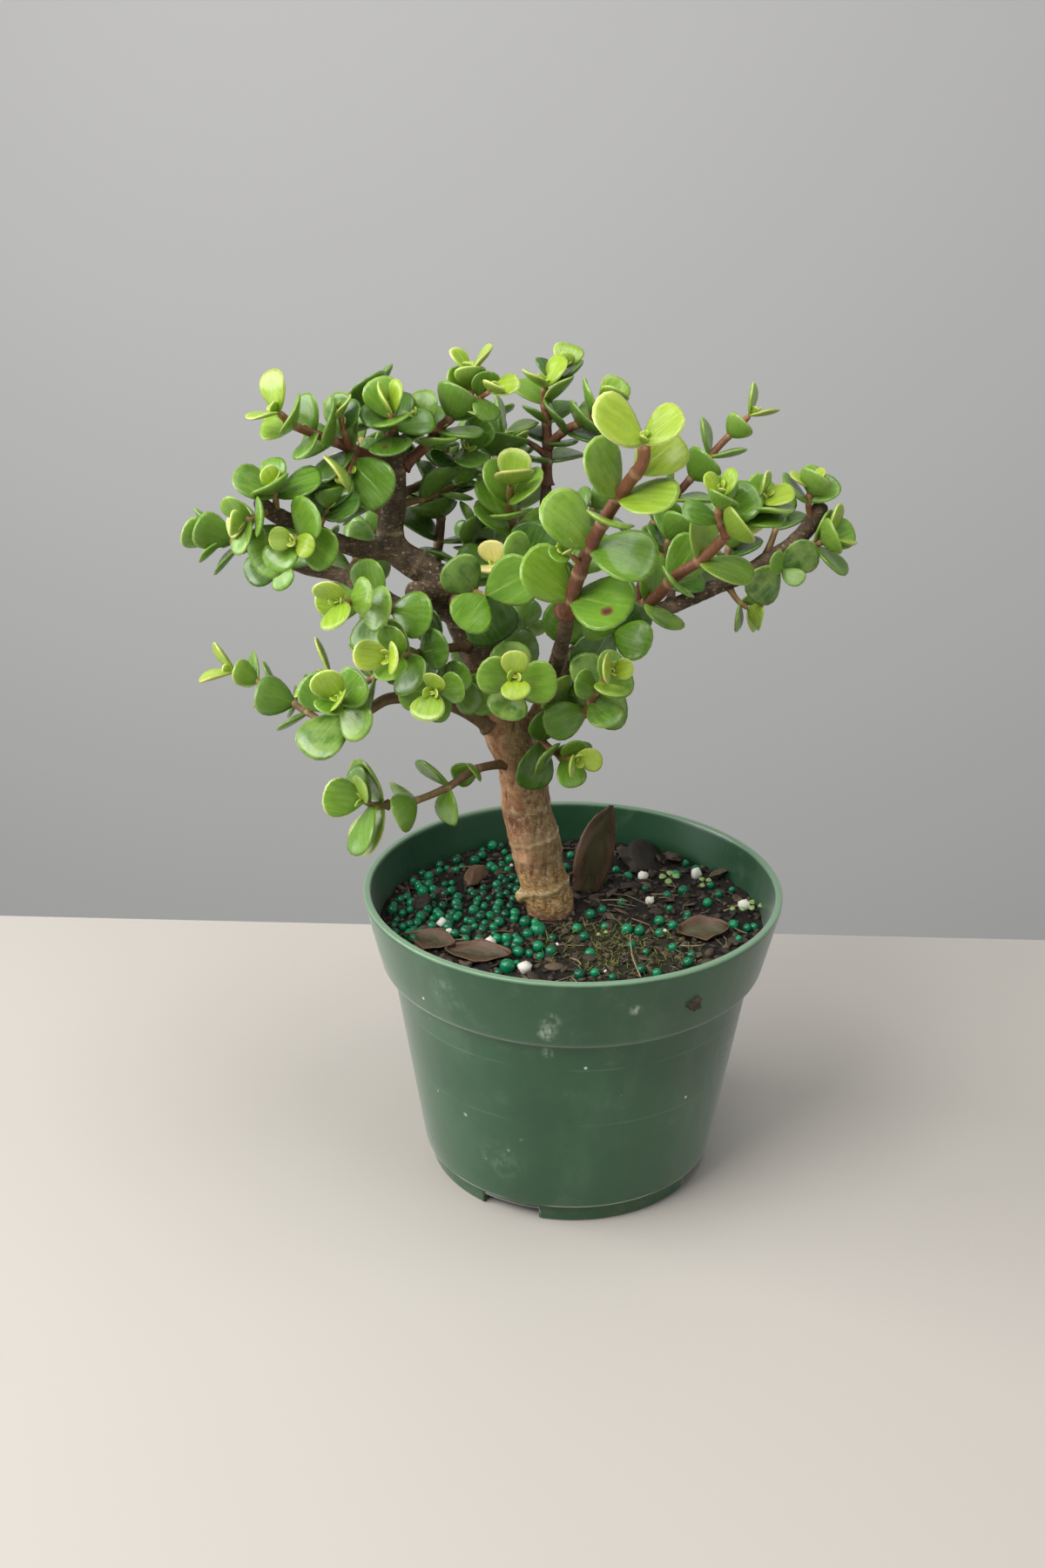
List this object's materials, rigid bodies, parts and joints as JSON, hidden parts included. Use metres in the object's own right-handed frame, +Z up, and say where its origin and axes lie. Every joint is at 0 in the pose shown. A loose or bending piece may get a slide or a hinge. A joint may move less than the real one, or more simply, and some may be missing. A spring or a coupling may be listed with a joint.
{
  "type": "potted dwarf jade bonsai",
  "caption": "Miniature succulent tree with a leaning woody trunk and small fleshy round leaves in pairs, growing in a flared round plastic nursery pot filled with potting mix.",
  "frame": {"origin": "middle of the pot's flat underside, on the surface the pot stands on", "axes": "+Z up along the pot's axis; +X to the right and -Y towards the viewer in the picture"},
  "size_m": [0.2362, 0.1758, 0.3016],
  "materials": {
    "pot": "satin moulded plastic, dusty and lightly scuffed",
    "soil": "moist peat and bark potting mix with green fertiliser prills",
    "wood": "rough living bark",
    "foliage": "smooth, slightly waxy fleshy leaves on thin reddish-brown stems",
    "dry_leaf": "dry, curled, reddish-brown",
    "bark": "rough"
  },
  "bodies": {
    "root": {"bark_chip": "bark", "dry_leaf_front": "dry_leaf", "dry_leaf_left": "dry_leaf", "dry_leaf_right": "dry_leaf", "dry_leaf_standing": "dry_leaf", "pot": "pot", "soil": "soil", "spray_backCentre": "foliage", "spray_backCrown": "foliage", "spray_backDark": "foliage", "spray_backLeft": "foliage", "spray_backLow": "foliage", "spray_backMiddle": "foliage", "spray_backRight": "foliage", "spray_backRound": "foliage", "spray_backTip": "foliage", "spray_backTop": "foliage", "spray_backUpper": "foliage", "spray_centreCream": "foliage", "spray_centreFace": "foliage", "spray_centreTop": "foliage", "spray_centreYellow": "foliage", "spray_crown": "foliage", "spray_crownLeft": "foliage", "spray_endLower": "foliage", "spray_endUpper": "foliage", "spray_farDrop": "foliage", "spray_farEnd": "foliage", "spray_farInner": "foliage", "spray_farRound": "foliage", "spray_farSide": "foliage", "spray_farUpper": "foliage", "spray_front": "foliage", "spray_innerCentre": "foliage", "spray_innerFront": "foliage", "spray_innerLeft": "foliage", "spray_innerRight": "foliage", "spray_innerUpper": "foliage", "spray_leftFace": "foliage", "spray_leftHanging": "foliage", "spray_leftLong": "foliage", "spray_leftUpright": "foliage", "spray_lowFace": "foliage", "spray_lowLeft": "foliage", "spray_lowRight": "foliage", "spray_lowRound": "foliage", "spray_lowerFace": "foliage", "spray_lowest": "foliage", "spray_middleFace": "foliage", "spray_middleThin": "foliage", "spray_olive": "foliage", "spray_right": "foliage", "spray_rightHanging": "foliage", "spray_rightTall": "foliage", "spray_topTall": "foliage", "spray_trunkRound": "foliage", "trunk_and_limbs": "wood"}
  },
  "joints": []
}
